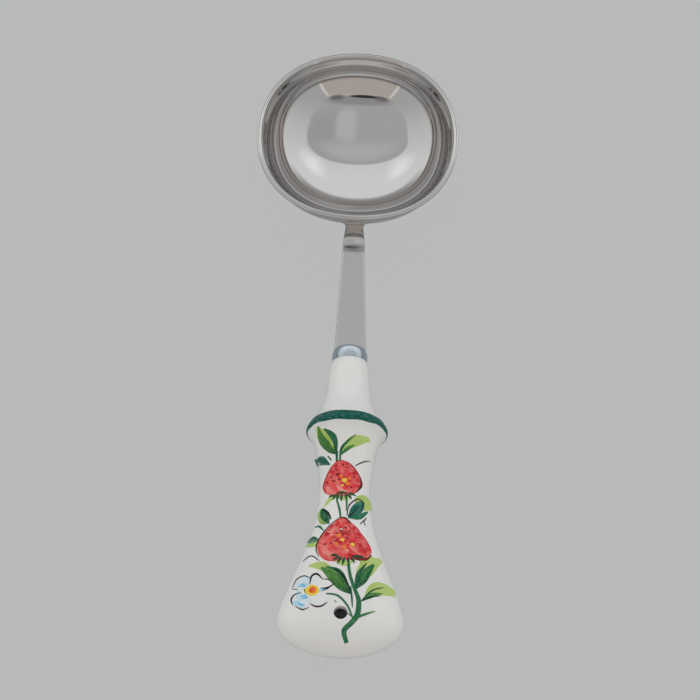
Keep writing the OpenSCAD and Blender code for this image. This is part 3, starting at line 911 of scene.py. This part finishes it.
    # Spray at the broad end
    wash.stroke([(-13.4, 35.2), (-8, 34.4), (-2.4, 30.6)], [0.8, 3.8, 1.6], PALE_LIME, LIME)
    dark.stroke([(-8.4, 33.8), (-3.4, 29.8), (0.6, 25.6), (4, 22.6)], [0.8, 4.4, 4.2, 0.6],
                MOSS, DEEP_GREEN)
    dark.stroke([(-6.6, 34), (-0.6, 31.6), (3.8, 23)], [0.5, 1.8, 0.5], LEAF_GREEN, DEEP_GREEN)
    ink.stroke([(-3.2, 33.2), (0.8, 30), (3.7, 24)], [0.3, 0.7, 0.3], INK)
    light.stroke([(-4.6, 31), (-1.4, 28.2), (1.6, 25)], [0.2, 0.5, 0.2], MOSS)
    wash.stroke([(5.9, 26.2), (9.4, 33.6), (15.6, 40)], [0.8, 6.4, 1.8], LIME, PALE_LIME)
    wash.stroke([(7.2, 35.6), (9.8, 38.4), (14.4, 38.6)], [0.8, 3.0, 1.6], LIME, PALE_LIME)
    dark.stroke([(5.7, 25), (8, 29.8), (12.6, 36.6)], [0.8, 4.6, 1.0], DEEP_GREEN, LEAF_GREEN)
    dark.stroke([(5.6, 25), (6.4, 31), (9.6, 36.4)], [0.6, 1.7, 0.4], LEAF_GREEN, DEEP_GREEN)
    light.stroke([(7.4, 28), (9.4, 32), (11.6, 35)], [0.2, 0.45, 0.2], MOSS)
    wash.stroke([(9.4, 21.4), (14.2, 26), (21.6, 26.4)], [0.8, 6.2, 3.2], LIME, PALE_LIME)
    dark.stroke([(8, 19.8), (11.6, 22.6), (16.4, 24.4)], [0.5, 2.2, 0.4], LEAF_GREEN, MOSS)
    ink.stroke([(8.4, 20.4), (12, 24.8), (16.9, 27.4)], [0.25, 0.6, 0.2], DEEP_GREEN)
    ink.stroke([(8.4, 20), (12, 22.2), (15.2, 23)], [0.25, 0.5, 0.2], INK)
    dark.stroke([(2.4, 35.4), (3.4, 30), (5.4, 24.4), (7, 19.8), (6.6, 14), (4.4, 10.6),
                 (1.6, 7.4), (2.8, 3.4)],
                [1.2, 1.3, 1.5, 1.9, 2.2, 2.0, 2.0, 1.6], LEAF_GREEN)
    dark.stroke([(6.8, 13.1), (10.4, 14.8), (13.6, 16.2)], [1.2, 0.9, 0.3], LEAF_GREEN, MOSS)
    dark.stroke([(3.6, 26), (4.2, 21), (4.6, 16.8)], [0.5, 0.8, 0.3], LEAF_GREEN, DEEP_GREEN)
    dark.stroke([(-6, 22.4), (-1.4, 21.6), (2.5, 17.6), (4.8, 12.6)], [0.6, 0.9, 0.8, 0.6],
                LEAF_GREEN)
    ink.stroke([(-2.6, 19.3), (-1.8, 18.9)], [0.4, 0.4], MOSS)
    ink.stroke([(2.8, 14.4), (4.1, 13.3)], [0.3, 0.35], INK)

    # Blue flower
    for (x, u), (rx, ru), tones in (
            ((-15.9, 28.2), (3.2, 2.5), (PALE_SKY, SKY)), ((-10.4, 28.2), (2.9, 2.3), (PALE_SKY, WHITE)),
            ((-6.4, 25.8), (3.0, 2.1), (WHITE, WHITE)), ((-8.8, 20.4), (3.2, 2.3), (PALE_SKY, WHITE)),
            ((-15.6, 19.8), (3.4, 3.0), (SKY, PALE_SKY)), ((-17.6, 24.4), (2.0, 1.6), (WHITE, SKY))):
        petal.wash([(x - rx, u - 0.3), (x - rx * 0.5, u + ru), (x + rx * 0.6, u + ru * 0.9), (x + rx, u),
                    (x + rx * 0.4, u - ru), (x - rx * 0.6, u - ru * 0.9)], *tones, 5, 7)
    for points, width in (([(-17.4, 26.2), (-15.6, 26.8), (-14.2, 25.8)], 1.7),
                          ([(-16.2, 22.4), (-14.6, 21.4), (-13, 21)], 2.0),
                          ([(-17.6, 19.6), (-16, 18.2), (-14.2, 17.8)], 1.2),
                          ([(-8.8, 23.6), (-7.4, 24.2), (-5.8, 24.6)], 0.8)):
        blue.stroke(points, [0.3, width, width * 0.8, 0.2], SKY, BLUE)
    light.wash([(-14.4, 24.2), (-12.8, 26.4), (-10.2, 26), (-8.8, 23.8), (-10.4, 21.8), (-13.2, 22.2)],
               YELLOW, YELLOW, 5, 6)
    centre = Painting("flower_heart", 0.14)
    centre.wash([(-12.9, 24), (-11.8, 25.6), (-10.2, 25), (-10.2, 23.2), (-11.8, 22.8)], RED, ORANGE, 5, 5)
    dark.stroke([(-14.8, 25), (-13.9, 23.4), (-12.6, 22.3)], [0.5, 1.1, 0.4], MOSS)
    for points, widths in (
            ([(-19.5, 26.6), (-18, 30), (-15.2, 31), (-12.7, 29.8)], [0.2, 0.5, 0.45, 0.2]),
            ([(-12.7, 26.8), (-12, 30.4), (-9.9, 31.1), (-7.6, 28.7)], [0.3, 0.8, 0.8, 0.3]),
            ([(-7.5, 28.8), (-5, 28.4), (-3.2, 26.3)], [0.2, 0.45, 0.2]),
            ([(-8.4, 24.8), (-5.4, 25), (-2.6, 27)], [0.3, 0.7, 0.2]),
            ([(-7.4, 23.6), (-5.2, 24.8), (-4.2, 26)], [0.2, 0.45, 0.2]),
            ([(-19.6, 26), (-17.4, 25.1)], [0.3, 0.3]),
            ([(-15.9, 23.5), (-18.6, 23), (-19.8, 21), (-19.1, 18.5)], [0.2, 0.5, 0.6, 0.2]),
            ([(-18.1, 17.9), (-15.2, 16), (-12.6, 16.8)], [0.2, 0.5, 0.2]),
            ([(-12.4, 18.4), (-10, 17), (-7.4, 17.2), (-5.4, 18.8)], [0.2, 0.6, 0.6, 0.2])):
        ink.stroke(points, widths, INK)

    finishes = {
        "haze": painted("haze_paint", 0.9, 0.3, 0.0),
        "leaf": painted("leaf_paint", 1.0, 0.2, 0.2, 0.5, (0.03, 0.21, 0.09, 1)),
        "berry": painted("berry_paint", 1.0, 0.1, 0.2, 0.55, (0.94, 0.30, 0.27, 1)),
        "petal": painted("petal_paint", 0.8, 0.4, 0.0, 0.9),
        "ink": painted("ink_paint", 1.0, 0.1, 0.0),
        "light": painted("light_paint", 1.0, 0.1, 0.0),
        "band": painted("band_paint", 1.0, 0.22, 0.15, 0.25, (0.02, 0.22, 0.16, 1)),
    }
    wash.build(finishes["haze"])
    dark.build(finishes["leaf"])
    berry.build(finishes["berry"])
    patch.build(finishes["berry"])
    light.build(finishes["light"])
    petal.build(finishes["petal"])
    blue.build(finishes["haze"])
    ink.build(finishes["ink"])
    centre.build(finishes["light"])
    make_band(finishes["band"])


def make_band(material):
    """Green band brushed round the shoulder."""
    around, cols, lift = 240, 12, 0.06
    verts, faces, pigment, brush = [], [], [], []
    for off in (lift, -0.02):
        for i in range(around):
            a = TAU * i / around
            low = 98.0 + 0.2 * sin(a * 3) + 0.1 * sin(a * 11)
            high = 102.4 + 0.2 * sin(a * 2 + 1) + 0.12 * sin(a * 7)
            for j in range(cols):
                t = j / (cols - 1)
                u = low + (high - low) * t
                w, h = half_size(u)
                verts.append(handle_point(u, -(w + off) * cos(a), (h + off) * sin(a)))
                pigment.append((*TEAL, 1.0))
                brush.append((i * 0.45, t * 2 - 1, 5.0))
    size = around * cols
    for i in range(around):
        a, b = i * cols, (i + 1) % around * cols
        for j in range(cols - 1):
            faces.append((a + j, b + j, b + j + 1, a + j + 1))
            faces.append((size + a + j, size + a + j + 1, size + b + j + 1, size + b + j))
        faces.append((a, size + a, size + b, b))
        last = cols - 1
        faces.append((a + last, b + last, size + b + last, size + a + last))
    band = mesh_object("green_band", verts, faces)
    tone = band.data.attributes.new("pigment", "FLOAT_COLOR", "POINT")
    tone.data.foreach_set("color", [c for p in pigment for c in p])
    strokes = band.data.attributes.new("brush", "FLOAT_VECTOR", "POINT")
    strokes.data.foreach_set("vector", [c for p in brush for c in p])
    recalc(band)
    finish_piece(band, None, material)


# ---------------------------------------------------------------- studio
BACKGROUND = (0.480, 0.491, 0.485, 1)
CAMERA_HEIGHT = radians(60)
CAMERA_ROLL = radians(2.05)
AIM = Vector((0, -8.63, 20)) * MM
CAMERA_REACH = 0.93
CAMERA_LENS = 113.14


def make_camera():
    data = bpy.data.cameras.new("camera")
    data.sensor_width = 36
    data.lens = CAMERA_LENS
    data.clip_start, data.clip_end = 0.05, 20
    camera = bpy.data.objects.new("camera", data)
    bpy.context.scene.collection.objects.link(camera)
    back = Vector((0, -cos(CAMERA_HEIGHT), sin(CAMERA_HEIGHT)))
    look = back.to_track_quat("Z", "Y").to_matrix().to_4x4()
    level = Matrix.Translation(AIM + back * CAMERA_REACH) @ look @ Matrix.Rotation(CAMERA_ROLL, 4, "Z")
    lying = LYING.copy()
    lying.translation *= MM
    camera.matrix_world = lying @ level
    bpy.context.scene.camera = camera


def make_floor():
    """Pale floor that is almost shadowless, as a lit light-table is."""
    size = 4000
    floor = mesh_object("floor", [(-size, -size, -0.1), (size, -size, -0.1), (size, size, -0.1),
                                  (-size, size, -0.1)], [(0, 1, 2, 3)], False, Matrix())
    material = bpy.data.materials.new("pale_floor")
    material.use_nodes = True
    tree = material.node_tree
    tree.nodes.clear()
    # Seen in the steel the floor glows at 0.65 of its strength: painted shade in its reflection, standing
    # in for the floor's shadow under the bowl
    mirrored = add(tree, "ShaderNodeLightPath").outputs["Is Glossy Ray"]
    strength = calc(tree, "MULTIPLY_ADD", mirrored, -0.35, 1.0)
    glow = add(tree, "ShaderNodeEmission", {"Color": BACKGROUND, "Strength": strength}).outputs[0]
    matt = add(tree, "ShaderNodeBsdfDiffuse", {"Color": (0.9, 0.91, 0.9, 1)}).outputs[0]
    both = add(tree, "ShaderNodeMixShader", {0: 0.01, 1: glow, 2: matt}).outputs[0]
    add(tree, "ShaderNodeOutputMaterial", {0: both})
    floor.data.materials.append(material)


def make_light_tent():
    """Soft light tent as the world: grey roof, bright walls, an open front with a dark lens."""
    world = bpy.data.worlds.new("light_tent")
    bpy.context.scene.world = world
    world.use_nodes = True
    tree = world.node_tree
    tree.nodes.clear()
    way = add(tree, "ShaderNodeTexCoord").outputs["Generated"]
    way = add(tree, "ShaderNodeVectorRotate", {"Vector": way, "Angle": LIE_ANGLE},
              rotation_type="X_AXIS").outputs[0]
    x, y, z = add(tree, "ShaderNodeSeparateXYZ", {0: way}).outputs
    high = calc(tree, "MAXIMUM", z, 0.02)
    gx, gy = calc(tree, "DIVIDE", x, high), calc(tree, "DIVIDE", y, high)
    side = calc(tree, "ABSOLUTE", gx)

    def oval(cx, cy, rx, ry, power, soft):
        """1 inside a rounded shape on the roof plane, 0 outside."""
        dx = calc(tree, "ABSOLUTE", calc(tree, "DIVIDE", calc(tree, "SUBTRACT", gx, cx), rx))
        dy = calc(tree, "ABSOLUTE", calc(tree, "DIVIDE", calc(tree, "SUBTRACT", gy, cy), ry))
        d = calc(tree, "ADD", calc(tree, "POWER", dx, power), calc(tree, "POWER", dy, power))
        d = calc(tree, "POWER", d, 1 / power)
        return fade(tree, d, 1 - soft, 1 + soft, 1.0, 0.0)

    def lay(colour, mask, tone):
        return mix_colour(tree, mask, colour, (*tone, 1))

    walls = mix_colour(tree, fade(tree, y, -0.5, 0.45), (0.50, 0.50, 0.50, 1), (0.72, 0.73, 0.73, 1))
    # Back wall is the brightest, most of all towards its two upper corners
    behind = fade(tree, y, 0.25, 0.75)
    colour = lay(walls, behind, (0.86, 0.87, 0.87))
    corner = calc(tree, "MULTIPLY", oval(0, 0.95, 0.95, 0.33, 2, 0.5), fade(tree, side, 0.35, 0.75))
    colour = lay(colour, corner, (1.12, 1.13, 1.14))
    low = calc(tree, "MULTIPLY", fade(tree, y, 0.6, 0.9), fade(tree, z, 0.42, 0.34))
    colour = lay(colour, low, (0.36, 0.36, 0.37))
    # Open front: warm dim room between pale frames, with a dark shade and lens in its middle
    front_share = calc(tree, "DIVIDE", side, calc(tree, "MAXIMUM", calc(tree, "MULTIPLY", gy, -1), 0.05))
    facing = fade(tree, gy, -0.7, -0.95)
    frames = calc(tree, "MULTIPLY", fade(tree, front_share, 0.92, 0.86), facing)
    colour = lay(colour, frames, (0.80, 0.76, 0.70))
    opening = calc(tree, "MULTIPLY", fade(tree, front_share, 0.82, 0.76), facing)
    colour = lay(colour, opening, (0.54, 0.49, 0.46))
    colour = lay(colour, oval(0.0, -0.64, 0.6, 0.17, 2.5, 0.4), (0.36, 0.36, 0.37))
    for x_side in (0.45, -0.45):
        colour = lay(colour, oval(x_side, -0.74, 0.16, 0.12, 2, 0.6), (0.20, 0.19, 0.19))
    colour = lay(colour, oval(-0.1, -0.79, 0.28, 0.07, 2, 0.3), (0.04, 0.04, 0.04))
    # Roof
    colour = lay(colour, oval(0.0, 0.1, 0.86, 0.55, 4, 0.035), (0.50, 0.50, 0.51))
    colour = lay(colour, oval(0.5, 0.15, 0.3, 0.4, 3, 0.6), (0.45, 0.45, 0.46))
    colour = lay(colour, oval(0.16, -0.05, 0.14, 0.3, 3, 0.4), (0.60, 0.60, 0.61))
    colour = lay(colour, oval(0.0, 0.42, 0.5, 0.14, 2, 0.6), (0.58, 0.58, 0.59))
    path = add(tree, "ShaderNodeLightPath").outputs
    shade = calc(tree, "MULTIPLY", fade(tree, z, 0.28, 0.1), path["Is Glossy Ray"])
    colour = lay(colour, shade, (0.12, 0.12, 0.12))
    strength = calc(tree, "MULTIPLY_ADD", path["Is Diffuse Ray"], 0.27, 1.0)
    light = add(tree, "ShaderNodeBackground", {"Color": colour, "Strength": strength}).outputs[0]
    plain = add(tree, "ShaderNodeBackground", {"Color": BACKGROUND, "Strength": 1.0}).outputs[0]
    both = add(tree, "ShaderNodeMixShader", {0: path["Is Camera Ray"], 1: light, 2: plain}).outputs[0]
    add(tree, "ShaderNodeOutputWorld", {0: both})


# ---------------------------------------------------------------- the ladle
make_camera()
make_floor()
make_light_tent()
bpy.context.scene.view_settings.view_transform = "Standard"
bpy.context.scene.cycles.max_bounces = 24
bpy.context.scene.cycles.glossy_bounces = 16

bowl_steel = polished_steel("bowl_steel", (0.6, 0.6, 0.6), 0.012, 0.004, 0.0, 0.02)
stem_steel = polished_steel("stem_steel", (6.0, 0.15, 1.0), 0.12, 0.04, 0.1, 0.03)
finish_piece(make_bowl(), "bowl", bowl_steel)
finish_piece(make_stem(), "stem", stem_steel)
finish_piece(make_handle(), "handle", white_glaze())
finish_piece(make_ferrule(), "ferrule", satin_ferrule())
make_paintings()

for node, finish in (
        ("braze_seam", grainy("braze_skin", (0.45, 0.43, 0.40, 1), (0.3, 0.28, 0.26, 1), 0.35, 0.9)),
        ("cement_core", grainy("white_cement", (0.72, 0.70, 0.66, 1), (0.6, 0.58, 0.54, 1), 0.9))):
    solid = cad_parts[node]
    solid.data.materials.clear()
    solid.data.materials.append(finish)
